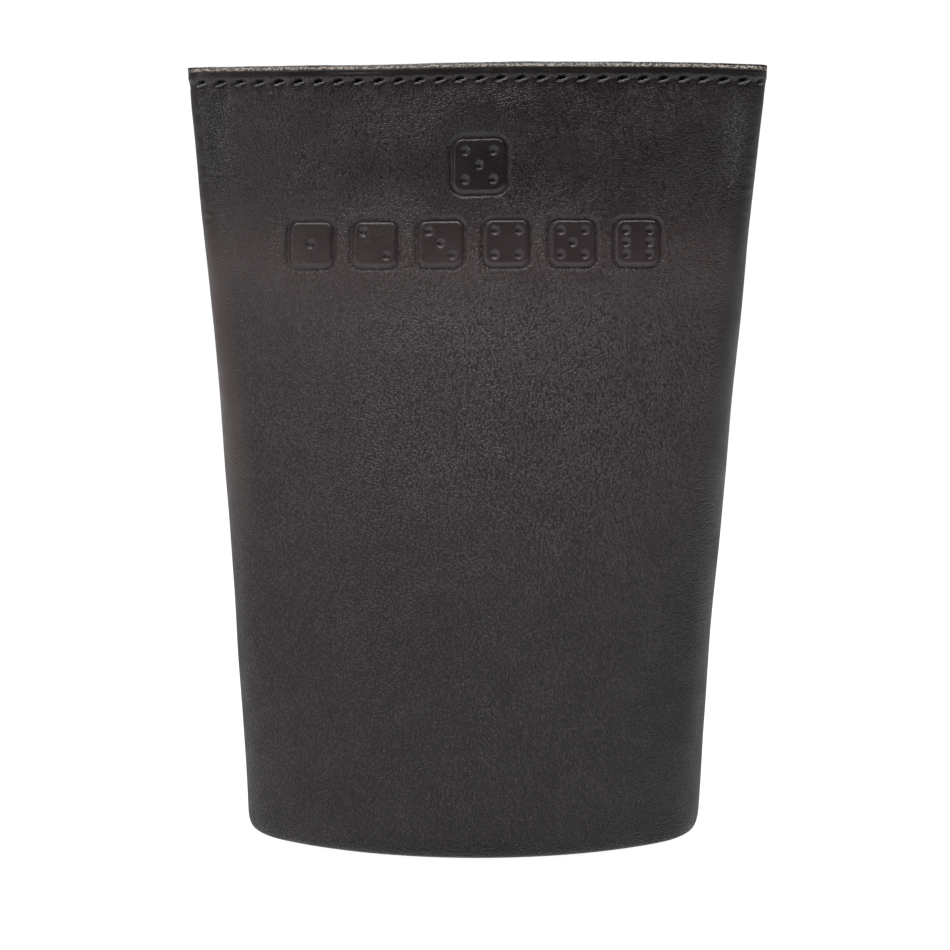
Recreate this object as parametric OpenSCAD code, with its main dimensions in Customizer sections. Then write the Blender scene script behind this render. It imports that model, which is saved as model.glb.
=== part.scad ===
// Leather dice cup: an oval base, a soft wall, and a mouth that closes nearly flat.
// Millimetres. +Z is up and the front face looks along -Y.
// The origin is on the table, under the middle of the base.
//
// Every wall section is an oval of four arcs, two long side arcs and two end arcs. The end
// arcs are wide at the base and shrink to a tight fold at the mouth. Each layer of the wall
// is that same oval set in by its depth below the outer face, so layers keep their thickness.

/* [Cup] */
// Height from the table to the rim at the two corners of the mouth
cup_height = 131; // [120:1:145]
// Half the width of the mouth, from the middle to a corner
mouth_half_width = 49.2; // [47:0.1:53]
// Half the depth of the mouth at its middle, walls included
mouth_half_depth = 7.2; // [6.8:0.1:9]
// Radius of the fold at each corner of the mouth
mouth_fold_radius = 3; // [2.9:0.1:3.6]
// Half the width of the base
base_half_width = 39; // [37:0.5:42]
// Half the depth of the base
base_half_depth = 25.4; // [23.5:0.1:27]
// Radius of the base's end arcs
base_end_radius = 18; // [16:0.5:19]

/* [Wall layers] */
// Thickness of the outer leather
leather_t = 1.2; // [1:0.1:1.3]
// Thickness of the leather board inside the wall
stiffener_t = 0.8; // [0.7:0.1:0.9]
// Thickness of the lining leather
lining_t = 0.6; // [0.5:0.1:0.6]
// Thickness of the tape inside the rim's fold
tape_t = 0.3; // [0.2:0.1:0.4]
// Depth of the leather that is turned in at the rim
turn_in = 9; // [7:0.5:12]

/* [Base layers] */
// Thickness of the sole leather
sole_t = 1; // [0.8:0.1:1.4]
// Set-in of the sole's edge from the foot's outline
sole_inset = 3.4; // [3.2:0.1:5]
// Thickness of the leather turned under the base
margin_t = 0.5; // [0.4:0.1:0.7]
// Thickness of the base board
base_board_t = 2; // [1.5:0.1:3]
// Thickness of the lining turned in under the insole
lining_margin_t = 0.4; // [0.3:0.1:0.6]
// Thickness of the insole board
insole_board_t = 1.1; // [0.8:0.1:1.6]
// Thickness of the suede pad that the dice land on
insole_pad_t = 1.2; // [0.8:0.1:2]

/* [Stitching] */
// Number of stitches round the rim
rim_stitch_count = 60; // [52:4:68]
// Distance of the rim stitches below the rim
stitch_drop = 2.6; // [2.2:0.1:4]
// Diameter of the sewing thread
thread_d = 0.6; // [0.4:0.05:0.8]
// Distance from one seam stitch to the next
seam_pitch = 3.5; // [3:0.1:4]
// Distance of the seam stitches from the middle of the back
seam_offset = 1.6; // [1:0.1:1.9]

/* [Hidden] */

// How fast the wall changes from base to mouth, as powers of the height
flare_power = 1.25;
flatten_power = 1.44;
fold_power = 1.2;

// Segments along each quarter's end arc and side arc
end_segments = 5;
side_segments = 8;
quarter_points = end_segments + side_segments;
ring_points = 4 * quarter_points;

// Depths of the layers below the outer face
board_inset = leather_t + stiffener_t;
inner_inset = board_inset + lining_t;
margin_inset = 10;
skive_gap = 0.2;

// Heights of the layers, from the table up
margin_top = sole_t + margin_t;
board_top = margin_top + base_board_t;
lining_margin_top = board_top + lining_margin_t;
insole_top = lining_margin_top + insole_board_t;
pad_top = insole_top + insole_pad_t;
fold_edge = cup_height - turn_in;
tape_top = cup_height - 1.3;
lining_top = cup_height - 1.6;
stitch_height = cup_height - stitch_drop;
foot_top = 4;
wall_steps = 12;
wall_levels = [for (k = [1:wall_steps]) blend(foot_top, fold_edge, k / wall_steps)];

// The rounded foot, as [height as a share of sole_t, set-in] from the table edge upwards
foot_profile = [[1, sole_inset], [0.55, 2.8], [0.3, 2], [0.35, 1.3], [0.75, 0.7],
    [1.5, 0.3], [2.6, 0.08]];
rim_turn_steps = 6;

// Ring segments that a stiffener stops short of each fold, and short of the back seam
fold_clear = 2;
seam_clear = 1;

// Ends of the seam row, and the size of one stitch
seam_bottom = 7;
seam_top = cup_height - 7;
stitch_half = 1.25;
stitch_rise = 0.2;
fold_stitch_lift = 0.25;
// Share of each side arc that shows stitches inside, where the two faces leave them room
bobbin_reach = 0.9;
seam_thread_d = 0.5;

function blend(low, high, share) = low + (high - low) * share;
function level(z) = min(max(z / cup_height, 0), 1);

// The four measures of the oval at a height: half width, half depth, end and side radius
function half_width(z) = blend(base_half_width, mouth_half_width, pow(level(z), flare_power));
function half_depth(z) = blend(base_half_depth, mouth_half_depth, pow(level(z), flatten_power));
function end_radius(z) = blend(base_end_radius, mouth_fold_radius, pow(level(z), fold_power));
function side_radius(z) = let (a = half_width(z), b = half_depth(z), r = end_radius(z))
    (a * a - 2 * a * r + b * b) / (2 * (b - r));

// Half the angle that a side arc spans
function side_angle(z) = asin((half_width(z) - end_radius(z)) / (side_radius(z) - end_radius(z)));

// A point of the oval whose outward normal is at an angle between 0 and 90 degrees
function quarter_point(z, inset, normal) =
    normal < 90 - side_angle(z)
        ? [half_width(z) - end_radius(z) + (end_radius(z) - inset) * cos(normal),
            (end_radius(z) - inset) * sin(normal)]
        : [(side_radius(z) - inset) * cos(normal),
            (side_radius(z) - inset) * sin(normal) - side_radius(z) + half_depth(z)];

// Normals of one quarter's ring points: even steps on the end arc, then on the side arc
function quarter_normal(z, j) = j <= end_segments
    ? (90 - side_angle(z)) * j / end_segments
    : 90 - side_angle(z) * (quarter_points - j) / side_segments;

// Ring point i, counted anticlockwise from the +X corner
function wall_point(z, inset, i) = let (
        quarter = floor(i / quarter_points),
        j = i % quarter_points,
        step = quarter % 2 == 0 ? j : quarter_points - j,
        p = quarter_point(z, inset, quarter_normal(z, step)),
        side_x = quarter == 0 || quarter == 3 ? 1 : -1,
        side_y = quarter < 2 ? 1 : -1)
    [side_x * p.x, side_y * p.y, z];
function ring(z, inset) = [for (i = [0:ring_points - 1]) wall_point(z, inset, i)];
function outline(z, inset) = [for (p = ring(z, inset)) [p.x, p.y]];

// Two triangles between four points, seen clockwise from outside
function quad(a, b, c, d) = [[a, d, c], [a, c, b]];

// A hollow band: each ring of points is joined to the next, and the last to the first
module band(rings) {
    count = len(rings[0]);
    turns = len(rings);
    polyhedron(
        points = [for (r = rings) each r],
        faces = [for (j = [0:turns - 1], i = [0:count - 1]) let (
                next_i = (i + 1) % count,
                upper = ((j + 1) % turns) * count)
            each quad(j * count + i, j * count + next_i, upper + next_i, upper + i)]);
}

// A curved panel between two depths of the wall, from ring point first to last
module wall_panel(levels, outer, inner, first, last) {
    loops = [for (z = levels) concat(
        [for (i = [first:last]) wall_point(z, outer, i % ring_points)],
        [for (i = [last:-1:first]) wall_point(z, inner, i % ring_points)])];
    count = len(loops[0]);
    top = (len(loops) - 1) * count;
    polyhedron(
        points = [for (l = loops) each l],
        faces = concat(
            [for (j = [0:len(loops) - 2], i = [0:count - 1])
                each quad(j * count + i, j * count + (i + 1) % count,
                    (j + 1) * count + (i + 1) % count, (j + 1) * count + i)],
            [for (i = [0:count / 2 - 2]) each quad(i, count - 1 - i, count - 2 - i, i + 1)],
            [for (i = [0:count / 2 - 2])
                each quad(top + i, top + i + 1, top + count - 2 - i, top + count - 1 - i)]));
}

// A flat oval board with a stepped edge: its lower step leaves room for a turned-in margin
module stepped_board(low, step, high, lower_inset, upper_inset) {
    translate([0, 0, low]) linear_extrude(step - low) polygon(outline(high, lower_inset));
    translate([0, 0, step]) linear_extrude(high - step) polygon(outline(high, upper_inset));
}

// One straight run of thread
module thread_run(from, to, d) {
    run = to - from;
    translate(from)
        rotate([0, acos(run.z / norm(run)), atan2(run.y, run.x)])
            cylinder(h = norm(run), d = d, $fn = 8);
}

// The outward normal at a distance along the oval, from the middle of the front
function normal_along(z, inset, s) = let (
        side = (side_radius(z) - inset) * side_angle(z) * PI / 180,
        end = (end_radius(z) - inset) * (90 - side_angle(z)) * PI / 90,
        side_turn = 180 / PI / (side_radius(z) - inset),
        end_turn = 180 / PI / (end_radius(z) - inset),
        rest = s > side + end ? s - 2 * side - end : s)
    (s > side + end ? 180 : 0)
        + (abs(rest) <= side ? rest * side_turn - 90
            : rest > side ? side_angle(z) - 90 + (rest - side) * end_turn
            : -90 - side_angle(z) + (rest + side) * end_turn);
function girth(z, inset) = let (
        side = (side_radius(z) - inset) * side_angle(z),
        end = (end_radius(z) - inset) * (90 - side_angle(z)))
    4 * (side + end) * PI / 180;

// The point of the oval with a given outward normal, in any quarter
function point_at(z, inset, normal) = let (
        p = quarter_point(z, inset, asin(abs(sin(normal)))))
    [sign(cos(normal)) * p.x, sign(sin(normal)) * p.y, z];

// Distance along the rim, from the middle of the front, of each stitch's middle
rim_girth = girth(stitch_height, 0);
rim_places = [for (k = [0:rim_stitch_count - 1]) rim_girth * (k / rim_stitch_count - 1 / 4)];

// How far along its side arc or past it a place is: under 1 on a face, over 1 on a fold
function arc_share(s) =
    abs(90 - abs(normal_along(stitch_height, 0, s) % 180)) / side_angle(stitch_height);

// One stitch of the rim, rising from one end to the other
module rim_stitch(s, inset, rise, d) {
    from = point_at(stitch_height, inset, normal_along(stitch_height, 0, s - stitch_half));
    to = point_at(stitch_height, inset, normal_along(stitch_height, 0, s + stitch_half));
    thread_run(from - [0, 0, rise], to + [0, 0, rise], d);
}

// A vertical row of stitches beside the back seam
module seam_row(inset, d) {
    count = floor((seam_top - seam_bottom) / seam_pitch);
    for (k = [0:count - 1]) {
        low = seam_bottom + k * seam_pitch;
        thread_run(seam_point(low, inset), seam_point(low + 2 * stitch_half, inset), d);
    }
}
function seam_point(z, inset) = [
    seam_offset,
    sqrt(pow(side_radius(z) - inset, 2) - pow(seam_offset, 2)) - side_radius(z) + half_depth(z),
    z];

module outer_sleeve() {
    foot = [for (p = foot_profile) ring(p[0] * sole_t, p[1])];
    rise = [for (z = concat([foot_top], wall_levels)) ring(z, 0)];
    turn_r = board_inset / 2;
    rim = [for (k = [0:rim_turn_steps]) let (turn = 180 * k / rim_turn_steps)
        ring(cup_height - turn_r + turn_r * sin(turn), turn_r - turn_r * cos(turn))];
    fold = [ring(fold_edge, board_inset), ring(fold_edge, leather_t + tape_t),
        ring(tape_top, leather_t + tape_t), ring(tape_top, leather_t)];
    fall = [for (k = [wall_steps - 1:-1:0]) ring(wall_levels[k], leather_t)];
    under = [ring(board_top, leather_t), ring(margin_top, leather_t),
        ring(margin_top, margin_inset), ring(sole_t, margin_inset)];
    color("#3b3637") band(concat(foot, rise, rim, fold, fall, under));
}

module stiffener(first, last) {
    levels = concat([margin_top, board_top], wall_levels);
    color("#8a7358") wall_panel(levels, leather_t, board_inset, first, last);
}

module front_stiffener() {
    stiffener(2 * quarter_points + fold_clear, 4 * quarter_points - fold_clear);
}

module rear_left_stiffener() {
    stiffener(quarter_points + seam_clear, 2 * quarter_points - fold_clear);
}

module rear_right_stiffener() {
    stiffener(fold_clear, quarter_points - seam_clear);
}

module rim_tape() {
    color("#d8d0bf") band([ring(fold_edge, leather_t), ring(tape_top, leather_t),
        ring(tape_top, leather_t + tape_t), ring(fold_edge, leather_t + tape_t)]);
}

module lining_sleeve() {
    rise = [for (z = concat([board_top], wall_levels, [lining_top])) ring(z, board_inset)];
    fall = [for (z = concat([lining_top], [for (k = [wall_steps - 1:-1:0]) wall_levels[k]],
        [lining_margin_top])) ring(z, inner_inset)];
    margin = [ring(lining_margin_top, margin_inset), ring(board_top, margin_inset)];
    color("#4a4140") band(concat(rise, fall, margin));
}

module base_board() {
    color("#8a7358")
        stepped_board(sole_t, margin_top, board_top, margin_inset + skive_gap, board_inset + skive_gap);
}

module base_sole() {
    color("#332f30") linear_extrude(sole_t) polygon(outline(0, sole_inset));
}

module insole_board() {
    color("#8a7358")
        stepped_board(board_top, lining_margin_top, insole_top, margin_inset + skive_gap,
            inner_inset + skive_gap);
}

module insole_pad() {
    color("#5a4e4a") translate([0, 0, insole_top])
        linear_extrude(insole_pad_t) polygon(outline(pad_top, inner_inset + skive_gap));
}

module rim_stitches() {
    color("#1f1c1d") for (s = rim_places)
        rim_stitch(s, -thread_d / 2 - (arc_share(s) > 1 ? fold_stitch_lift : 0), stitch_rise, thread_d);
}

module rim_bobbin_stitches() {
    color("#1f1c1d") for (s = rim_places)
        if (arc_share(s) < bobbin_reach)
            rim_stitch(s, inner_inset + seam_thread_d / 2, 0, seam_thread_d);
}

module seam_stitches() {
    color("#1f1c1d") seam_row(-seam_thread_d / 2, seam_thread_d);
}

module seam_bobbin_stitches() {
    color("#1f1c1d") seam_row(leather_t + seam_thread_d / 2 + 0.05, seam_thread_d);
}

outer_sleeve();
front_stiffener();
rear_left_stiffener();
rear_right_stiffener();
rim_tape();
lining_sleeve();
base_board();
base_sole();
insole_board();
insole_pad();
rim_stitches();
rim_bobbin_stitches();
seam_stitches();
seam_bobbin_stitches();
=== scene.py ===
"""Leather dice cup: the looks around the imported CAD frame. Built in millimetres, placed in metres."""

import math

import bpy
import numpy as np
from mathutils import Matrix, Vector, noise


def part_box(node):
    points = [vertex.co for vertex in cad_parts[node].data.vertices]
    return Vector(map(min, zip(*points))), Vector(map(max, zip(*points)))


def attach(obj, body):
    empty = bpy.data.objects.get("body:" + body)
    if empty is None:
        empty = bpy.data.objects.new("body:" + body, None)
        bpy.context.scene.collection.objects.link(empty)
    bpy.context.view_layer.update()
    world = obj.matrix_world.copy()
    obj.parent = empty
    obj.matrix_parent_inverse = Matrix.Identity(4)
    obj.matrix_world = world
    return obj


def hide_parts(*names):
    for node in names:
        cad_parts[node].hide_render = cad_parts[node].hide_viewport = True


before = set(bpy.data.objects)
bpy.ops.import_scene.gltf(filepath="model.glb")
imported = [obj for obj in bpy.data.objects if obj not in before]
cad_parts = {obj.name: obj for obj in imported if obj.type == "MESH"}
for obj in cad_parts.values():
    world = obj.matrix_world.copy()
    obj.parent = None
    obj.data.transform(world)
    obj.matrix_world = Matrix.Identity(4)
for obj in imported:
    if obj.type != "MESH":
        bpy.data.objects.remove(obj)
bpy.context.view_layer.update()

MM = 0.001

# ---------------------------------------------------------------- the cup's measures, in mm
sleeve_box = [[v / MM for v in corner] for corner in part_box("outer_sleeve")]
sole_box = [[v / MM for v in corner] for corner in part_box("base_sole")]
SOLE_INSET = 3.4  # the sole stands in from the wall
CUP_H = sleeve_box[1][2]
MOUTH_W = 49.2  # half width of the mouth
MOUTH_D = 7.2  # half depth of the mouth
MOUTH_FOLD = 3.0  # radius of the folds at the mouth's corners
BASE_W = sole_box[1][0] + SOLE_INSET
BASE_D = sole_box[1][1] + SOLE_INSET
BASE_END = 18.0  # radius of the base's ends
SOLE_T = sole_box[1][2]
LEATHER_T = 1.2
BOARD_INSET = 2.0  # from the outside to the inner side of the stiffeners
INNER_INSET = 2.6  # from the outside to the inner side of the lining
MARGIN_REACH = 9.0  # how far the leather and the lining turn in under the base
FLARE, FLATTEN, FOLD = 1.25, 1.44, 1.2  # how width, depth and folds run from base to rim
LEAN = 0.5  # sideways lean of the soft wall from base to rim
RIM_RISE = 0.45  # the rim stands a little higher right of the middle
BASE_SWELL = 0.35  # the left end of the foot bulges a little

STITCH_COUNT = 60
STITCH_DROP = 3.0  # from the rim's top down to its stitches
STITCH_Z = CUP_H - STITCH_DROP
STITCH_SHIFT = 1.1
STITCH_HALF = 1.25
SEAM_PITCH = 3.5
SEAM_OFFSET = 1.6
SEAM_BOTTOM, SEAM_TOP = 7.0, CUP_H - 7.0
PAD_LOW, PAD_TOP = 5.0, 6.2
PAD_GAP = 0.25  # between the pad and the lining


def oval(z):
    """Half width, half depth, end radius, side radius and half side angle of the wall at z."""
    u = np.clip(z / CUP_H, 0, 1)
    a = BASE_W + (MOUTH_W - BASE_W) * u**FLARE
    b = BASE_D + (MOUTH_D - BASE_D) * u**FLATTEN
    r = BASE_END + (MOUTH_FOLD - BASE_END) * u**FOLD
    big = (a * a - 2 * a * r + b * b) / (2 * (b - r))
    return a, b, r, big, np.arcsin((a - r) / (big - r))


def girth(z):
    _, _, r, big, alpha = oval(z)
    return 4 * (big * alpha + r * (math.pi / 2 - alpha))


def wall(s, z, inset=0.0):
    """The wall's point at arc length s from the middle of the front, and its level normal."""
    s, z, inset = np.broadcast_arrays(np.asarray(s, float), np.asarray(z, float), inset)
    a, b, r, big, alpha = oval(z)
    side = big * alpha
    end = r * (math.pi - 2 * alpha)
    t = np.abs(s)
    front = t <= side
    rear = t >= side + end
    angle = np.where(front, -math.pi / 2 + t / big, alpha - math.pi / 2 + (t - side) / r)
    angle = np.where(rear, math.pi / 2 + (t - 2 * side - end) / big, angle)
    nx, ny = np.cos(angle), np.sin(angle)
    radius = np.where(front | rear, big, r) - inset
    x = radius * nx + np.where(front | rear, 0, a - r)
    # the fold at a corner of the rim is pinched flat, so its outline stays sharp
    pinch = inset * smooth(CUP_H - 1.05, CUP_H - 0.9, z)
    x = x + pinch * smooth(side - 6, side + end / 2, np.minimum(t, 2 * side + end - t))
    y = radius * ny + np.where(front, big - b, np.where(rear, b - big, 0))
    flip = np.where(s < 0, -1.0, 1.0)
    x = x * flip + LEAN * (z / CUP_H - 0.5)
    rise = RIM_RISE * smooth(-20, 10, x) * (1 - 0.6 * smooth(36, 49, x)) * smooth(50, CUP_H, z)
    swell = BASE_SWELL * nx * flip * smooth(0.2, 0.9, -nx * flip) * (1 - smooth(15, 60, z))
    normal = np.stack([nx * flip, ny, np.zeros_like(nx)], -1)
    return np.stack([x + swell, y, z + rise], -1), normal


# ---------------------------------------------------------------- small tools
def smooth(low, high, v):
    t = np.clip((v - low) / (high - low), 0, 1)
    return t * t * (3 - 2 * t)


def bump_at(v, centre, width):
    return np.exp(-(((v - centre) / width) ** 2))


def noise_at(points, scale, seed=0.0):
    """Smooth noise in -1 to 1 at an array of points in mm. scale is one wave, in mm, on each axis."""
    flat = points.reshape(-1, 3) / np.asarray(scale, float) + seed
    return np.array([noise.noise(Vector(p)) for p in flat]).reshape(points.shape[:-1])


def ridges(points, scale, seed=0.0):
    return 1 - 2 * np.abs(noise_at(points, scale, seed))


def new_mesh(name, points, faces):
    mesh = bpy.data.meshes.new(name)
    mesh.from_pydata((np.asarray(points) * MM).tolist(), [], faces)
    mesh.polygons.foreach_set("use_smooth", [True] * len(mesh.polygons))
    mesh.update()
    piece = bpy.data.objects.new(name, mesh)
    bpy.context.scene.collection.objects.link(piece)
    return piece


def paint(piece, name, values):
    """Stores a value at each point, for the material to read."""
    layer = piece.data.attributes.new(name, "FLOAT", "POINT")
    layer.data.foreach_set("value", np.asarray(values, np.float32).reshape(-1))


def band_faces(rows, columns):
    """Quads of a closed grid: the last row joins the first, and the last column the first."""
    i = np.arange(rows)[:, None]
    j = np.arange(columns)[None, :]
    up, right = (i + 1) % rows, (j + 1) % columns
    quads = [i * columns + j, i * columns + right, up * columns + right, up * columns + j]
    return np.stack([q.reshape(-1) for q in quads], 1).tolist()


def band_normals(points):
    """Outward normals of such a grid, from its neighbours."""
    along = np.roll(points, -1, 1) - np.roll(points, 1, 1)
    across = np.roll(points, -1, 0) - np.roll(points, 1, 0)
    n = np.cross(along, across)
    return n / np.maximum(np.linalg.norm(n, axis=-1, keepdims=True), 1e-9)


def steps(*runs):
    """Increasing values through several (start, end, step) runs."""
    out = []
    for start, end, step in runs:
        count = max(1, round((end - start) / step))
        out += list(start + (end - start) * np.arange(count) / count)
    return out + [runs[-1][1]]


def even_shares(count):
    """Shares of the girth from the middle of the front, evenly spaced all round."""
    return np.linspace(-0.5, 0.5, count + 1)[:-1]


def station_grid(stations, share):
    """Heights, insets and arc lengths of a grid, from its rows' (height, inset) and its columns' shares."""
    z = np.array([p[0] for p in stations])[:, None]
    inset = np.array([p[1] for p in stations])[:, None]
    return z, inset, share[None, :] * girth(z)


# ---------------------------------------------------------------- what is pressed and sewn into the leather
MARK_Z = CUP_H - 17.2
MARK_SIZE = 9.4
MARK_SHIFT = 0.8
ROW_Z = CUP_H - 30.0
ROW_SIZE = 8.0
ROW_PITCH = 11.0
ROW_COUNT = 6
PRESS_DEPTH = 0.44
ROW_DIP = 0.10  # how deep the leather sinks all round the row
PIPS = {
    1: [(0, 0)],
    2: [(-1, 1), (1, -1)],
    3: [(-1, 1), (0, 0), (1, -1)],
    4: [(-1, 1), (1, 1), (-1, -1), (1, -1)],
    5: [(-1, 1), (1, 1), (0, 0), (-1, -1), (1, -1)],
    6: [(-1, 1), (1, 1), (-1, 0), (1, 0), (-1, -1), (1, -1)],
}
GROOVE_HALF = 0.2  # half width of a pressed line's flat bottom
LIP = 0.34  # width of the slope at its side
PIP_HALF = 0.42
PIP_SPREAD = 0.25  # from a face's middle to its outer pips, as a share of its size


def die_face(x, z, size, value):
    """How deep a pressed die face is, from 0 to 1: a rounded outline and its pips."""
    half, corner = size / 2, size * 0.22
    qx, qz = np.abs(x) - half + corner, np.abs(z) - half + corner
    outside = np.hypot(np.maximum(qx, 0), np.maximum(qz, 0)) - corner
    edge = np.abs(outside + np.minimum(np.maximum(qx, qz), 0))
    depth = 1 - smooth(GROOVE_HALF, GROOVE_HALF + LIP, edge)
    for px, pz in PIPS[value]:
        away = np.hypot(x - px * size * PIP_SPREAD, z - pz * size * PIP_SPREAD)
        depth = np.maximum(depth, 1 - smooth(PIP_HALF, PIP_HALF + LIP, away))
    return depth


def row_middle(k):
    """How far along the wall the middle of the row's face number k is, counted from 0."""
    return (k - (ROW_COUNT - 1) / 2) * ROW_PITCH


def marks(s, z):
    """The pressed marks: one die face above a row of six."""
    depth = die_face(s - MARK_SHIFT, z - MARK_Z, MARK_SIZE, 5)
    for k in range(ROW_COUNT):
        depth = np.maximum(depth, die_face(s - row_middle(k), z - ROW_Z, ROW_SIZE, k + 1))
    return depth


def within_marks(s, z):
    """1 inside the pressed outlines, where the leather is flattened too."""
    out = np.maximum(np.abs(s - MARK_SHIFT), np.abs(z - MARK_Z)) - MARK_SIZE / 2
    for k in range(ROW_COUNT):
        away = np.maximum(np.abs(s - row_middle(k)), np.abs(z - ROW_Z)) - ROW_SIZE / 2
        out = np.minimum(out, away)
    return 1 - smooth(-0.5, 0.3, out)


def rim_places():
    """Where the middle of each rim stitch is along the wall."""
    total = girth(STITCH_Z)
    return [total * (k / STITCH_COUNT - 0.5) + STITCH_SHIFT for k in range(STITCH_COUNT)]


def seam_places():
    """How high the middle of each stitch of the back seam is."""
    count = int((SEAM_TOP - SEAM_BOTTOM) // SEAM_PITCH)
    return [SEAM_BOTTOM + k * SEAM_PITCH + STITCH_HALF for k in range(count)]


def back_offset(s, z):
    """Distance along the wall from the middle of the back, positive towards +X."""
    half = girth(z) / 2
    return np.where(s > 0, half - s, -half - s)


def from_stitch(s, z):
    """Distance along the wall from the nearest rim stitch."""
    total = girth(STITCH_Z)
    pitch = total / STITCH_COUNT
    return (s / girth(z) * total - STITCH_SHIFT + pitch / 2) % pitch - pitch / 2


def needle_slots(along, z):
    """The slot above each rim stitch, as a depth from 0 to 1."""
    u = along + 0.25
    v = z - STITCH_Z - 0.2 - 0.14 * u
    return np.clip(1 - (u / 0.8) ** 2 - (v / 0.44) ** 2, 0, 1) ** 0.6


def sewn_relief(s, z):
    """The slots of the rim stitches, and the channel that the row pulls in."""
    pitch = girth(STITCH_Z) / STITCH_COUNT
    along = from_stitch(s, z)
    near = bump_at(z, STITCH_Z, 1.0)
    channel = -0.14 * bump_at(z, STITCH_Z - 0.1, 0.9) - 0.05 * bump_at(z, STITCH_Z - 1.6, 1.5)
    bridge = 0.12 * bump_at(np.abs(along), pitch / 2, 0.55) * near
    return channel - 0.85 * needle_slots(along, z) + bridge


def hem_puff(s, z, inset):
    """How far the folded rim stands out above the stitch row."""
    corner = bump_at(np.abs(s), girth(STITCH_Z) / 4, 4)
    hem = smooth(STITCH_Z + 0.1, STITCH_Z + 0.9, z) * (1 - 0.8 * corner)
    return 0.22 * hem * (1 - smooth(0.65, 1.3, inset))


def seam_relief(s, z):
    """The lapped edge up the back, and the needle pits of its row of stitches."""
    x = back_offset(s, z)
    inside = smooth(0, 2, z - 1.5) * (1 - smooth(CUP_H - 1.5, CUP_H - 0.5, z))
    lap = 0.34 * smooth(-0.12, 0.12, x) * (1 - smooth(3.0, 9.0, x))
    trough = -0.12 * bump_at(x, SEAM_OFFSET, 0.55)
    pits = np.zeros_like(x)
    for c in seam_places():
        u, v = z - c, x - SEAM_OFFSET
        pits += np.clip(1 - ((np.abs(u) - 1.3) / 0.45) ** 2 - (v / 0.4) ** 2, 0, 1)
    return (lap + trough - 0.3 * pits) * inside


# ---------------------------------------------------------------- the leather's own relief
def wall_relief(points, s, z):
    """Height of the outer leather above its plain shape, in mm, at points with their s and z."""
    face = 1 - smooth(44, 48.5, np.abs(s))
    # broad soft waves that run across the cup
    soft = 0.26 * noise_at(points, (46, 60, 24), 3.1) + 0.12 * noise_at(points, (20, 30, 13), 7.7)
    press = -0.34 * bump_at(z, 110.5, 6.5) + 0.22 * bump_at(z, 98.5, 5.5) - 0.20 * bump_at(z, 91, 5)
    press = press * face
    # puckers beside the folds, near the rim
    fold = bump_at(np.abs(s), 46.3, 2.6) * smooth(96, 112, z) * (1 - smooth(124, 128, z))
    pucker = fold * np.where(s < 0, 0.16, 0.06) * ridges(points, (2.6, 4.0, 1.5), 1.3)
    # creased patches, drier than the rest
    patch = smooth(0.08, 0.42, noise_at(points, (26, 30, 15), 11.2))
    crease = patch * 0.055 * ridges(points, (3.4, 4.0, 1.9), 5.5)
    crease += 0.028 * ridges(points, (4.6, 5.0, 2.8), 9.5)
    crease *= smooth(88, 97, z) * (1 - smooth(46, 52, np.abs(s)))
    dents = 0.03 * noise_at(points, (9, 10, 7), 15.1)
    return soft + press + pucker + crease + dents


# where the leather is drier and more wrinkled: middle along the wall and up, and reach each way
DRY_PATCHES = (
    (1, 78, 15, 6), (-32, 97, 8, 6), (33, 98, 13, 7), (-34, 38, 6, 5), (-9, 104, 9, 3), (12, 60, 12, 5))


def dryness(points, s, z):
    """How dry and wrinkled the leather is, from 0 to 1."""
    out = smooth(0.15, 0.5, noise_at(points, (24, 26, 15), 11.2)) * 0.6
    ragged = 0.6 * noise_at(points, (6, 7, 4), 12.5)
    for s0, z0, reach_s, reach_z in DRY_PATCHES:
        away = np.hypot((s - s0) / reach_s, (z - z0) / reach_z) + ragged
        out = np.maximum(out, 1 - smooth(0.5, 1.2, away))
    return out


def crumple(s, z):
    """Squeezed leather beside the folds of the mouth, just under the stitches, mostly at the left."""
    side = bump_at(s, -44.6, 2.4) + 0.3 * bump_at(s, 44.6, 2.4)
    return side * smooth(106, 114, z) * (1 - smooth(CUP_H - 4.6, CUP_H - 3.8, z))


# ---------------------------------------------------------------- the sleeve
# height and inset of the sleeve's rows, from under the foot up to the wall
FOOT_PROFILE = [
    (1.0, MARGIN_REACH), (1.0, 3.4), (0.78, 3.1), (0.55, 2.8), (0.38, 2.4), (0.3, 2.0), (0.29, 1.65),
    (0.36, 1.3), (0.52, 1.0), (0.75, 0.7), (1.1, 0.47), (1.5, 0.3), (2.0, 0.17), (2.6, 0.08), (3.3, 0.02)]
# height past the rim's top and inset of its rows, from the wall over to the inside
RIM_PROFILE = [
    (-0.92, 0.01), (-0.84, 0.05), (-0.76, 0.13), (-0.65, 0.26), (-0.52, 0.4), (-0.4, 0.54), (-0.37, 0.59),
    (-0.33, 0.61), (-0.08, 0.64), (-0.02, 0.73), (0.0, 0.9), (-0.04, 1.25), (-0.16, 1.55), (-0.38, 1.8),
    (-0.7, 1.95), (-1.0, 2.0)]


def sleeve_shares():
    """Where the sleeve's columns stand, as shares of the girth, closest together across the front."""
    return np.array(steps(
        (-0.5, -0.488, 0.0022), (-0.488, -0.25, 0.0062), (-0.25, -0.172, 0.0028), (-0.172, 0.172, 0.0013),
        (0.172, 0.25, 0.0028), (0.25, 0.488, 0.0062), (0.488, 0.5, 0.0022))[:-1])


def wall_heights():
    """Heights of the sleeve's rows up the wall, closest together at the marks and the stitches."""
    low, high = STITCH_Z - 1.2, STITCH_Z + 1.0
    below = steps((4, 60, 1.8), (60, 95, 1.0), (95, 119, 0.27), (119, low, 0.55), (low, high, 0.2))
    return below[:-1] + steps((high, CUP_H - 1.0, 0.15))


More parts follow.
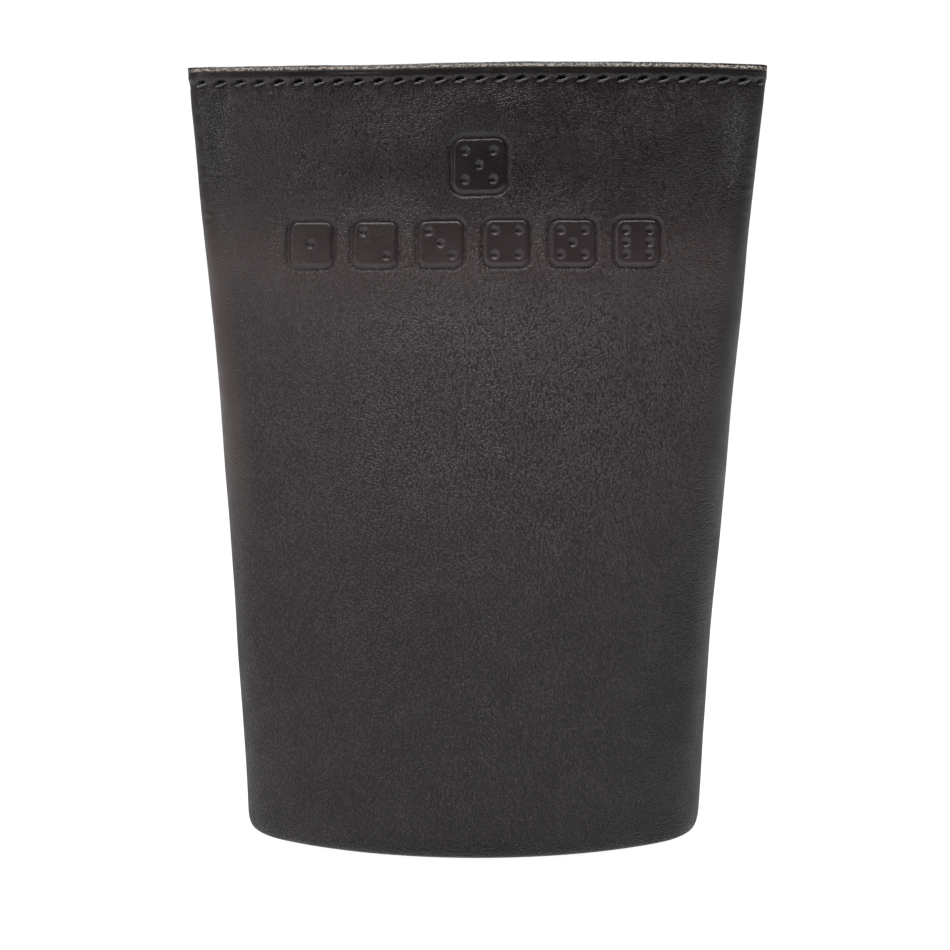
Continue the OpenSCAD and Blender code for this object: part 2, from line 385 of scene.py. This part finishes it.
def sleeve_relief(points, s, z, rim_start, rim_rows):
    """Height of the sleeve above its plain shape, with everything that is pressed and sewn into it."""
    relief = np.zeros_like(s)
    outer = slice(4, rim_start + rim_rows // 2)
    relief[outer] = wall_relief(points[outer], s[outer], z[outer])
    relief[outer] += sewn_relief(s[outer], z[outer]) + seam_relief(s[outer], z[outer])
    around = bump_at(z[outer], ROW_Z, 5.5) * (1 - smooth(30, 36, np.abs(s[outer])))
    relief[outer] -= PRESS_DEPTH * marks(s[outer], z[outer]) + ROW_DIP * around
    row = np.arange(len(z))
    past_wall = np.clip(row[:, None] - rim_start, 0, rim_rows) / rim_rows
    fade_rim = 1 - 0.5 * smooth(CUP_H - 2.4, CUP_H - 0.9, z)
    relief *= smooth(0.3, 5, z) * fade_rim * (past_wall < 0.55)
    on_rim = (row >= rim_start - 4) & (row < rim_start + rim_rows)
    uneven = 0.05 * noise_at(points[on_rim], (2.1, 2.1, 2.1), 21.0)
    uneven += 0.07 * noise_at(points[on_rim], (9, 9, 9), 23.0)
    relief[on_rim] += uneven
    return relief


def paint_sleeve(piece, points, level, s, z):
    """Stores what the leather's material reads: grain, the rim band with its painted highlight, folds, dry
    patches, tone (painted light and shade), roughness.
    """
    turned = smooth(0.35, 0.75, np.abs(level[..., 0]))
    fold = turned * smooth(35, 70, z)
    flattened = within_marks(s, z)
    # painted shade: a thin dark line along the very top of the rim, darkened in tone
    painted_dark_top_line = smooth(CUP_H - 0.41, CUP_H - 0.36, z)
    # the band along the rim's top, where a pale speckled highlight is painted into the colour
    painted_highlight_band = smooth(CUP_H - 1.0, CUP_H - 0.8, z) * (1 - painted_dark_top_line)
    strip = smooth(STITCH_Z + 0.7, STITCH_Z + 1.3, z) * (1 - smooth(CUP_H - 1.1, CUP_H - 0.9, z))
    sewn = bump_at(z, STITCH_Z, 0.7)
    # grain scales the pebbles' height and the painted shade in their valleys, stronger towards the foot
    grain = 1 + 1.3 * (1 - smooth(20, 75, z)) - 0.68 * smooth(70, 108, z)
    grain += 1.1 * crumple(s, z)
    grain *= 1 - 0.93 * strip
    grain *= 1 - 0.6 * sewn
    grain *= 1 - 0.85 * fold
    grain *= 1 - 0.7 * flattened
    # tone is painted light and shade: lighter at the lower left, as if lit from the left; darker at the top
    # of the wall, on the strip under the rim, along the rim's top line, on the right side's turn and in the
    # needle slots, where shade falls; also darker inside the pressed marks
    lit = smooth(5, 35, -s) * (1 - smooth(20, 85, z))
    tone = (0.74 + 0.26 * lit) * (1 - 0.8 * smooth(96, 114, z))
    tone *= 1 - 0.35 * smooth(STITCH_Z + 1.0, CUP_H - 1.0, z) - 0.5 * painted_dark_top_line
    tone *= (1 - 0.75 * turned * (s > 0)) * (1 - 0.25 * flattened)
    tone *= 1 - 0.9 * smooth(0.1, 0.6, needle_slots(from_stitch(s, z), z))
    paint(piece, "grain", grain)
    paint(piece, "rim", painted_highlight_band)
    paint(piece, "fold", fold)
    paint(piece, "dry", dryness(points, s, z))
    # painted light and shade, which the material mixes into the colour
    paint(piece, "tone", tone)
    paint(piece, "rougher", 0.14 * turned - 0.05 * smooth(98, 112, z) * (1 - painted_highlight_band))


def outer_leather():
    """The sleeve: up the outside, over the rim, down inside the fold, and back under the foot."""
    heights = wall_heights()
    rim = [(CUP_H + past, inset) for past, inset in RIM_PROFILE]
    inside = [(CUP_H - 4, BOARD_INSET), (CUP_H - 9, BOARD_INSET), (CUP_H - 9.2, LEATHER_T)]
    inside += [(z, LEATHER_T) for z in np.linspace(CUP_H - 22, 8, 8)]
    inside += [(1.5, LEATHER_T), (1.5, MARGIN_REACH)]
    stations = FOOT_PROFILE + [(z, 0.0) for z in heights] + rim + inside
    z, inset, s = station_grid(stations, sleeve_shares())
    points, level = wall(s, z, inset)
    normals = band_normals(points)
    z = np.broadcast_to(z, s.shape)
    relief = sleeve_relief(points, s, z, len(FOOT_PROFILE) + len(heights), len(rim))
    points = points + normals * relief[..., None] + level * hem_puff(s, z, inset)[..., None]
    piece = new_mesh("outer_leather", points.reshape(-1, 3), band_faces(*s.shape))
    paint_sleeve(piece, points, level, s, z)
    return piece


# ---------------------------------------------------------------- threads
THREAD_STRANDS = 2
THREAD_TURNS = 0.55  # turns of the twist in each mm
STRAND_SIDES = 7
STRAND_STEP = 0.16


def tube(points, radius):
    """Points and faces of a round tube through a list of points, narrower and closed at both ends."""
    pts = [Vector(p) for p in points]
    rings, faces = [], []
    side = None
    last = len(pts) - 1
    for i, p in enumerate(pts):
        ahead = (pts[min(i + 1, last)] - pts[max(i - 1, 0)]).normalized()
        side = side or ahead.orthogonal()
        side = side - ahead * side.dot(ahead)
        side.normalize()
        up = ahead.cross(side)
        r = radius * (0.75 if i in (0, last) else 1.0)
        for k in range(STRAND_SIDES):
            t = 2 * math.pi * k / STRAND_SIDES
            rings.append(p + (side * math.cos(t) + up * math.sin(t)) * r)
    for i in range(last):
        here, after = i * STRAND_SIDES, (i + 1) * STRAND_SIDES
        for k in range(STRAND_SIDES):
            n = (k + 1) % STRAND_SIDES
            faces.append([here + k, here + n, after + n, after + k])
    faces.append(list(range(STRAND_SIDES))[::-1])
    faces.append([last * STRAND_SIDES + k for k in range(STRAND_SIDES)])
    return rings, faces


def twisted(points, radius):
    """Strands of thread wound round a path, as one list of points and faces."""
    pts = [np.array(p, float) for p in points]
    run = [0.0]
    for a, b in zip(pts, pts[1:]):
        run.append(run[-1] + float(np.linalg.norm(b - a)))
    count = max(8, int(run[-1] / STRAND_STEP))
    where = np.linspace(0, run[-1], count)
    path = np.stack([np.interp(where, run, [p[i] for p in pts]) for i in range(3)], 1)
    ahead = np.gradient(path, axis=0)
    ahead /= np.linalg.norm(ahead, axis=1, keepdims=True)
    side = np.cross(ahead, np.array([0.13, 0.21, 0.97]))
    side /= np.linalg.norm(side, axis=1, keepdims=True)
    up = np.cross(ahead, side)
    parts = []
    for k in range(THREAD_STRANDS):
        t = 2 * math.pi * (where * THREAD_TURNS + k / THREAD_STRANDS)
        wound = path + (side * np.cos(t)[:, None] + up * np.sin(t)[:, None]) * radius * 0.46
        parts.append(tube(wound, radius * 0.56))
    return joined(parts)


def curve_through(points, count=14):
    """A smooth run through a few points, as Catmull-Rom."""
    p = [np.array(q, float) for q in points]
    p = [2 * p[0] - p[1]] + p + [2 * p[-1] - p[-2]]
    out = []
    for i in range(1, len(p) - 2):
        for t in np.linspace(0, 1, count // (len(p) - 3) + 1, endpoint=False):
            a, b, c, d = p[i - 1], p[i], p[i + 1], p[i + 2]
            out.append(0.5 * (2 * b + (c - a) * t + (2 * a - 5 * b + 4 * c - d) * t**2
                + (3 * b - a - 3 * c + d) * t**3))
    return out + [p[-2]]


def joined(parts):
    """One list of points and faces from several."""
    points, faces = [], []
    for part_points, part_faces in parts:
        start = len(points)
        points += [tuple(p) for p in part_points]
        faces += [[start + i for i in f] for f in part_faces]
    return points, faces


def leather_height(p, s, z):
    """Height of the outer leather above its plain shape at one point."""
    return float(wall_relief(p[None], np.array([s]), np.array([z]))[0])


def rim_thread():
    """The stitches outside: each comes out low on the left and dives in higher on the right."""
    # along the row, up and out of the leather
    shape = [(-1.1, -0.3, -0.4), (-0.8, -0.36, 0.08), (-0.3, -0.32, 0.26), (0.3, -0.14, 0.14),
        (0.8, 0.1, -0.06), (1.2, 0.24, -0.45)]
    parts = []
    corner = girth(STITCH_Z) / 4
    for k, s0 in enumerate(rim_places()):
        wobble = 0.06 * noise.noise(Vector((k * 1.7, 2.2, 0.3)))
        path = []
        # a stitch at a corner of the mouth is pulled in
        sunk = 0.8 * math.exp(-(((abs(s0) - corner) / 2.6) ** 2))
        for ds, dz, out in curve_through(shape):
            out -= sunk
            p, n = wall(s0 + ds, STITCH_Z + dz + wobble)
            path.append(p + n * (out + leather_height(p, s0, STITCH_Z)))
        parts.append(twisted(path, 0.23))
    return new_mesh("rim_thread", *joined(parts))


def inner_thread():
    """The same row on the inside of the lining, except in the corners of the mouth."""
    shape = [(-1.35, -0.2), (-0.7, 0.18), (0.7, 0.18), (1.35, -0.2)]  # along the row and out
    parts = []
    side = oval(STITCH_Z)[3] * oval(STITCH_Z)[4]
    total = girth(STITCH_Z)
    for s0 in rim_places():
        from_middle = min(abs(s0), abs(total / 2 - abs(s0)))
        if from_middle > side * 0.9:
            continue
        path = []
        for ds, out in curve_through(shape):
            p, n = wall(s0 + ds, STITCH_Z, INNER_INSET)
            path.append(p - n * out)
        parts.append(twisted(path, 0.22))
    return new_mesh("inner_thread", *joined(parts))


def seam_thread():
    """The row of stitches up the back."""
    # up and out
    shape = [(-1.45, -0.35), (-1.05, 0.02), (-0.5, 0.16), (0.5, 0.16), (1.05, 0.02), (1.45, -0.35)]
    parts = []
    for c in seam_places():
        path = []
        for dz, out in shape:
            z = c + dz
            s = girth(z) / 2 - SEAM_OFFSET
            p, n = wall(s, z)
            lift = leather_height(p, s, z) + 0.26
            path.append(p + n * (out + lift))
        parts.append(twisted(curve_through(path), 0.25))
    return new_mesh("seam_thread", *joined(parts))


# ---------------------------------------------------------------- lining, pad and sole
def lining():
    """The inner sleeve, with its folded top edge and its turned-in bottom margin."""
    top = CUP_H - 1.6
    fold_r = 0.3
    behind = [(3.5, MARGIN_REACH), (3.5, BOARD_INSET)]
    behind += [(z, BOARD_INSET) for z in np.linspace(10, top - 2, 8)]
    edge = [(top - fold_r + fold_r * math.sin(t), BOARD_INSET + fold_r - fold_r * math.cos(t))
        for t in np.linspace(0, math.pi, 7)]
    down = [(z, INNER_INSET) for z in np.linspace(top - 1.5, 5, 60)]
    stations = behind + edge + down + [(3.9, INNER_INSET), (3.9, MARGIN_REACH)]
    z, inset, s = station_grid(stations, even_shares(220))
    points, _ = wall(s, z, inset)
    normals = band_normals(points)
    first = len(behind) + len(edge)
    shown = slice(first, first + len(down))
    inner = points[shown]
    relief = np.zeros_like(s)
    relief[shown] = 0.10 * noise_at(inner, (18, 22, 12), 31.0) + 0.04 * ridges(inner, (5, 6, 4), 33.0)
    relief[shown] *= smooth(0, 6, CUP_H - z[shown])
    points = points + normals * relief[..., None]
    return new_mesh("lining_leather", points.reshape(-1, 3), band_faces(*s.shape))


def oval_plate(name, low, high, inset, at, round_r, bulge, grain=0.03):
    """A flat oval plate with rounded edges and a slightly uneven top, cut to the wall at height at."""
    columns, rings, seed = 160, 26, 41.0
    outline, _ = wall(even_shares(columns) * girth(at), at, inset)
    turn = np.linspace(0, math.pi / 2, 5)
    edge = [(round_r * (1 - math.cos(t)), low + round_r * (1 - math.sin(t))) for t in turn[::-1]]
    edge += [(round_r * (1 - math.cos(t)), high - round_r * (1 - math.sin(t))) for t in turn]
    # share of the way out, height and whether it is on the top, for each ring of points
    rows = [(k / rings, low, False) for k in range(1, rings)]
    rows += [(1 - d / (BASE_D - inset), z, False) for d, z in edge]
    rows += [(k / rings, high, True) for k in range(rings - 1, 0, -1)]
    points, faces = [], []
    for share_out, z, on_top in rows:
        ring = outline.copy()
        ring[:, :2] *= share_out
        ring[:, 2] = z
        if on_top:
            lift = bulge * (1 - share_out**4) + grain * noise_at(ring, (3, 3, 3), seed)
            lift += 2 * grain * noise_at(ring, (14, 14, 14), seed + 2)
            ring[:, 2] += lift * smooth(1.0, 0.9, share_out)
        points += ring.tolist()
    last = (len(rows) - 1) * columns
    for here in range(0, last, columns):
        for j in range(columns):
            n = (j + 1) % columns
            faces.append([here + j, here + n, here + columns + n, here + columns + j])
    points += [[0, 0, low], [0, 0, high + bulge]]
    for j in range(columns):
        n = (j + 1) % columns
        faces.append([len(points) - 2, n, j])
        faces.append([len(points) - 1, last + j, last + n])
    return new_mesh(name, points, faces)


# ---------------------------------------------------------------- materials
class Nodes:
    """A short way to wire a material's nodes."""

    def __init__(self, name):
        self.material = bpy.data.materials.new(name)
        self.material.use_nodes = True
        self.tree = self.material.node_tree
        self.shader = self.tree.nodes["Principled BSDF"]

    def add(self, kind, inputs=None, **settings):
        n = self.tree.nodes.new(kind)
        for key, value in settings.items():
            setattr(n, key, value)
        for key, value in (inputs or {}).items():
            self.put(n.inputs[key], value)
        return n

    def put(self, socket, value):
        if isinstance(value, bpy.types.NodeSocket):
            self.tree.links.new(value, socket)
        else:
            socket.default_value = value

    def math(self, operation, a, b=0.0):
        return self.add("ShaderNodeMath", {0: a, 1: b}, operation=operation).outputs[0]

    def times(self, a, b):
        return self.math("MULTIPLY", a, b)

    def span(self, value, low, high, out_low=0.0, out_high=1.0):
        n = self.add(
            "ShaderNodeMapRange",
            {"Value": value, "From Min": low, "From Max": high, "To Min": out_low, "To Max": out_high},
            interpolation_type="SMOOTHSTEP",
        )
        return n.outputs["Result"]

    def mix(self, share, a, b):
        n = self.add("ShaderNodeMix", data_type="RGBA")
        self.put(n.inputs[0], share)
        self.put(n.inputs[6], a)
        self.put(n.inputs[7], b)
        return n.outputs[2]

    def millimetres(self, stretch=(1, 1, 1), slant=0.0):
        """The object's own coordinates in mm."""
        at = self.add("ShaderNodeTexCoord").outputs["Object"]
        scale = [v / MM for v in stretch]
        n = self.add("ShaderNodeMapping", {"Vector": at, "Scale": scale, "Rotation": (0, slant, 0)})
        return n.outputs["Vector"]

    def noise(self, at, scale, detail=2.0, rough=0.5):
        inputs = {"Vector": at, "Scale": scale, "Detail": detail, "Roughness": rough}
        n = self.add("ShaderNodeTexNoise", inputs)
        return n.outputs["Fac"]

    def cells(self, at, scale):
        """Distance from the middle of the nearest of many uneven cells."""
        return self.add("ShaderNodeTexVoronoi", {"Vector": at, "Scale": scale}).outputs["Distance"]

    def value(self, name):
        """A value painted on the mesh."""
        return self.add("ShaderNodeAttribute", attribute_name=name).outputs["Fac"]

    def warp(self, at, scale, amount):
        """The same coordinates, pushed about by noise."""
        n = self.add("ShaderNodeTexNoise", {"Vector": at, "Scale": scale, "Detail": 1.0})
        middle = (0.5, 0.5, 0.5)
        moved = self.add("ShaderNodeVectorMath", {0: n.outputs["Color"], 1: middle}, operation="SUBTRACT")
        scaled = self.add("ShaderNodeVectorMath", {0: moved.outputs[0]}, operation="SCALE")
        scaled.inputs["Scale"].default_value = amount
        return self.add("ShaderNodeVectorMath", {0: at, 1: scaled.outputs[0]}, operation="ADD").outputs[0]

    def bump(self, height, depth_mm):
        n = self.add("ShaderNodeBump", {"Height": height, "Distance": depth_mm * MM, "Strength": 1.0})
        return n.outputs["Normal"]

    def finish(self, **sockets):
        """Sets the shader's sockets, whose names' spaces are written as underscores."""
        for key, value in sockets.items():
            self.put(self.shader.inputs[key.replace("_", " ")], value)
        return self.material


SLEEVE_DARK = (0.058, 0.0351, 0.0385, 1)
SLEEVE_LIGHT = (0.0743, 0.05, 0.0533, 1)
FOLD_BROWN = (0.046, 0.031, 0.0243, 1)
# the colour that tone darkens the sleeve towards, as painted shade
PAINTED_SHADE_BLACK = (0.001, 0.001, 0.001, 1)
# the rim band's colours: pale speckles on near black, a painted highlight along the rolled edge
RIM_DARK = (0.008, 0.006, 0.005, 1)
RIM_PAINTED_HIGHLIGHT = (0.33, 0.29, 0.25, 1)
PEBBLE_REACH = 0.68  # keeps the widest gaps between pebbles from becoming pits


def sleeve_wear(n, height, colour):
    """Adds wrinkles, turned corners, the painted shade and light stored as tone, and the painted highlight
    along the rim, where they are painted on.
    """
    wrinkle = n.cells(n.warp(n.millimetres((0.75, 1, 1.5)), 0.5, 1.2), 0.9)
    height = n.math("ADD", height, n.times(n.times(wrinkle, n.value("dry")), -0.07))
    height = n.times(height, n.value("grain"))
    rim = n.value("rim")
    strokes = n.noise(n.millimetres((2.1, 2.1, 1.0), 0.7), 1.0, 0.5, 0.5)
    height = n.math("ADD", height, n.times(n.times(strokes, rim), 0.6))
    colour = n.mix(n.times(n.value("fold"), 0.5), colour, FOLD_BROWN)
    # painted shade and light: tone darkens the colour towards black
    colour = n.mix(n.value("tone"), PAINTED_SHADE_BLACK, colour)
    # painted highlight: pale speckles along the rim band
    painted_highlight_speckle = n.mix(n.span(strokes, 0.38, 0.56), RIM_DARK, RIM_PAINTED_HIGHLIGHT)
    return height, n.mix(rim, colour, painted_highlight_speckle)


def grained_leather(name, dark, light, rough=(0.31, 0.41), dome=0.46, cell=0.41, gloss=0.5, sleeve=False):
    """Pebbled leather: each pebble, cell mm apart, is a small dome, with painted shade darkening the valley
    round it.
    """
    n = Nodes(name)
    at = n.millimetres()
    bent = n.warp(n.millimetres((1, 1, 1.15)), 1.3, 0.4)
    pebble = n.math("MINIMUM", n.cells(bent, 1 / cell), PEBBLE_REACH)
    calm = n.span(n.noise(at, 0.11, 2.0), 0.32, 0.62, 0.75, 1.15)
    fine = n.noise(at, 5.5, 2.0, 0.6)
    height = n.times(n.times(pebble, pebble), n.times(calm, -dome))
    height = n.math("ADD", height, n.times(fine, 0.25 * dome))
    colour = n.mix(n.span(n.noise(at, 0.09, 3.0, 0.6), 0.3, 0.7), dark, light)
    valley = n.span(pebble, 0.22, 0.56)
    if sleeve:
        height, colour = sleeve_wear(n, height, colour)
        # the sleeve's painted grain also scales the painted shade in the valleys
        valley = n.times(valley, n.value("grain"))
    # painted shade: the valleys between pebbles are darkened in the colour
    colour = n.mix(valley, colour, [c * 0.1 for c in dark[:3]] + [1])
    roughness = n.span(n.noise(at, 0.16, 2.0), 0.3, 0.7, rough[0], rough[1])
    roughness = n.math("ADD", roughness, n.times(valley, 0.04))
    if sleeve:
        roughness = n.math("ADD", roughness, n.value("rougher"))
    return n.finish(
        Base_Color=colour, Roughness=roughness, Normal=n.bump(height, 1.0), Specular_IOR_Level=gloss)


def suede(name, dark, light):
    n = Nodes(name)
    at = n.millimetres()
    nap = n.noise(at, 2.6, 5.0, 0.7)
    cloud = n.noise(at, 0.14, 3.0)
    shade = n.math("ADD", n.times(nap, 0.5), n.times(cloud, 0.5))
    colour = n.mix(n.span(shade, 0.35, 0.65), dark, light)
    return n.finish(
        Base_Color=colour, Roughness=0.95, Normal=n.bump(nap, 0.25), Specular_IOR_Level=0.15,
        Sheen_Weight=0.4, Sheen_Roughness=0.5)


def thread(name, colour):
    n = Nodes(name)
    at = n.millimetres()
    fibre = n.noise(n.warp(at, 1.2, 0.4), 9.0, 3.0, 0.6)
    tone = n.mix(n.span(fibre, 0.3, 0.7), colour, [c * 1.8 for c in colour[:3]] + [1])
    return n.finish(Base_Color=tone, Roughness=0.24, Normal=n.bump(fibre, 0.03), Specular_IOR_Level=0.9)


def fibre_board(name):
    n = Nodes(name)
    at = n.millimetres()
    chips = n.cells(n.warp(at, 0.8, 0.8), 0.9)
    dust = n.noise(at, 2.4, 4.0, 0.65)
    shade = n.math("ADD", n.times(chips, 0.4), n.times(dust, 0.6))
    colour = n.mix(n.span(shade, 0.25, 0.75), (0.2, 0.13, 0.075, 1), (0.36, 0.26, 0.16, 1))
    return n.finish(Base_Color=colour, Roughness=0.85, Normal=n.bump(dust, 0.08), Specular_IOR_Level=0.25)


def woven_tape(name):
    n = Nodes(name)
    apart = n.add("ShaderNodeSeparateXYZ", {0: n.millimetres()})
    across = n.math("SINE", n.times(apart.outputs["X"], 12.0))
    upright = n.math("SINE", n.times(apart.outputs["Z"], 12.0))
    weave = n.times(across, upright)
    colour = n.mix(n.span(weave, -1, 1), (0.5, 0.46, 0.38, 1), (0.72, 0.68, 0.58, 1))
    return n.finish(Base_Color=colour, Roughness=0.9, Normal=n.bump(weave, 0.05), Specular_IOR_Level=0.2)


# ---------------------------------------------------------------- camera, floor and light
CAMERA_AWAY = 400.0
CAMERA_UP = 96.0
CAMERA_TURN = math.radians(1.66)
CAMERA_TILT = math.radians(4.93)
LENS = 88.2
FLOOR_HALF = 6.0  # half the floor's side, in m
FLOOR_GLOW = 0.97


def make_camera():
    """Stands in front, a little to the right of the middle and looking slightly down."""
    data = bpy.data.cameras.new("camera")
    data.lens = LENS
    data.sensor_width = 36.0
    data.clip_start = 0.01
    camera = bpy.data.objects.new("camera", data)
    x, y = CAMERA_AWAY * math.sin(CAMERA_TURN), -CAMERA_AWAY * math.cos(CAMERA_TURN)
    camera.location = (x * MM, y * MM, CAMERA_UP * MM)
    camera.rotation_euler = (math.pi / 2 - CAMERA_TILT, 0, CAMERA_TURN)
    bpy.context.scene.collection.objects.link(camera)
    bpy.context.scene.camera = camera


def make_floor():
    """A glowing white floor, which shows white and lights the cup from below."""
    mesh = bpy.data.meshes.new("floor")
    corners = [(x * FLOOR_HALF, y * FLOOR_HALF, 0) for x, y in ((-1, -1), (1, -1), (1, 1), (-1, 1))]
    mesh.from_pydata(corners, [], [[0, 1, 2, 3]])
    floor = bpy.data.objects.new("floor", mesh)
    bpy.context.scene.collection.objects.link(floor)
    mesh.materials.append(Nodes("floor").finish(
        Base_Color=(0.22, 0.22, 0.22, 1), Roughness=0.12,
        Emission_Color=(1, 1, 1, 1), Emission_Strength=FLOOR_GLOW))


def softbox(name, place, target, size, radiance, tint=(1, 1, 1)):
    """A rectangular lamp of that brightness, aimed at target. Places and sizes are in m."""
    data = bpy.data.lights.new(name, "AREA")
    data.shape = "RECTANGLE"
    data.size, data.size_y = size
    data.energy = radiance * math.pi * size[0] * size[1]
    data.color = tint
    light = bpy.data.objects.new(name, data)
    light.location = place
    light.rotation_euler = (Vector(target) - Vector(place)).to_track_quat("-Z", "Y").to_euler()
    bpy.context.scene.collection.objects.link(light)


def make_world():
    """White where the camera sees it, and dim as a light."""
    world = bpy.data.worlds.new("world")
    world.use_nodes = True
    tree = world.node_tree
    shade = tree.nodes["Background"]
    shade.inputs["Color"].default_value = (1, 1, 1, 1)
    seen = tree.nodes.new("ShaderNodeLightPath")
    strength = tree.nodes.new("ShaderNodeMapRange")
    tree.links.new(seen.outputs["Is Camera Ray"], strength.inputs["Value"])
    strength.inputs["To Min"].default_value = 0.12
    strength.inputs["To Max"].default_value = 1.05
    tree.links.new(strength.outputs["Result"], shade.inputs["Strength"])
    bpy.context.scene.world = world


def make_light():
    middle = (0, 0, 0.07)
    softbox("key_above", (-0.28, -0.42, 0.66), middle, (0.6, 0.16), 1.9, (1.0, 0.91, 0.9))
    softbox("left", (-0.6, -0.5, 0.2), middle, (0.3, 0.5), 1.9, (1.0, 0.93, 0.92))
    softbox("right", (0.8, -0.3, 0.3), middle, (0.3, 0.5), 0.1)
    softbox("top", (-0.05, 0.06, 0.8), (-0.05, 0.06, 0), (0.9, 0.5), 6.4, (1.0, 0.95, 0.94))
    softbox("behind", (0.35, 0.8, 0.5), middle, (0.5, 0.4), 1.8)
    view = bpy.context.scene.view_settings
    view.view_transform = "Standard"
    view.look = "None"


# ---------------------------------------------------------------- what the scene holds
def dress(piece, material, slot, *nodes):
    """Gives a piece its finish and its body, and hides the CAD nodes that it stands for."""
    piece.data.materials.append(material)
    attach(piece, "root")
    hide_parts(*nodes)


def finish_nodes(material, *names):
    """Gives CAD nodes that are shown as they are their finish."""
    for name in names:
        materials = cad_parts[name].data.materials
        materials.clear()
        materials.append(material)


make_camera()
make_floor()
make_world()
make_light()

black = grained_leather("black_leather", SLEEVE_DARK, SLEEVE_LIGHT, sleeve=True)
sole_black = grained_leather(
    "sole_leather", (0.016, 0.014, 0.014, 1), (0.026, 0.022, 0.021, 1),
    rough=(0.6, 0.8), dome=0.12, cell=0.6, gloss=0.3)
inner_black = grained_leather(
    "lining_leather", (0.02, 0.017, 0.0165, 1), (0.034, 0.028, 0.026, 1),
    rough=(0.6, 0.75), dome=0.1, cell=0.55, gloss=0.3)
thread_black = thread("black_thread", (0.036, 0.033, 0.033, 1))
brown_suede = suede("suede", (0.05, 0.042, 0.04, 1), (0.11, 0.092, 0.085, 1))

dress(outer_leather(), black, "black_leather", "outer_sleeve")
dress(rim_thread(), thread_black, "black_thread", "rim_stitches")
dress(inner_thread(), thread_black, "black_thread", "rim_bobbin_stitches")
dress(seam_thread(), thread_black, "black_thread", "seam_stitches")
dress(lining(), inner_black, "lining_leather", "lining_sleeve")
pad = oval_plate(
    "insole_suede", PAD_LOW, PAD_TOP, INNER_INSET + PAD_GAP, at=PAD_TOP, round_r=0.45, bulge=0.15)
dress(pad, brown_suede, "suede_pad", "insole_pad")
sole = oval_plate("sole_leather", 0, SOLE_T, SOLE_INSET, at=0, round_r=0.3, bulge=0.0, grain=0.0)
dress(sole, sole_black, "sole_leather", "base_sole")

finish_nodes(
    fibre_board("fibre_board"),
    "front_stiffener", "rear_left_stiffener", "rear_right_stiffener", "base_board", "insole_board")
finish_nodes(woven_tape("cotton_tape"), "rim_tape")
finish_nodes(thread_black, "seam_bobbin_stitches")
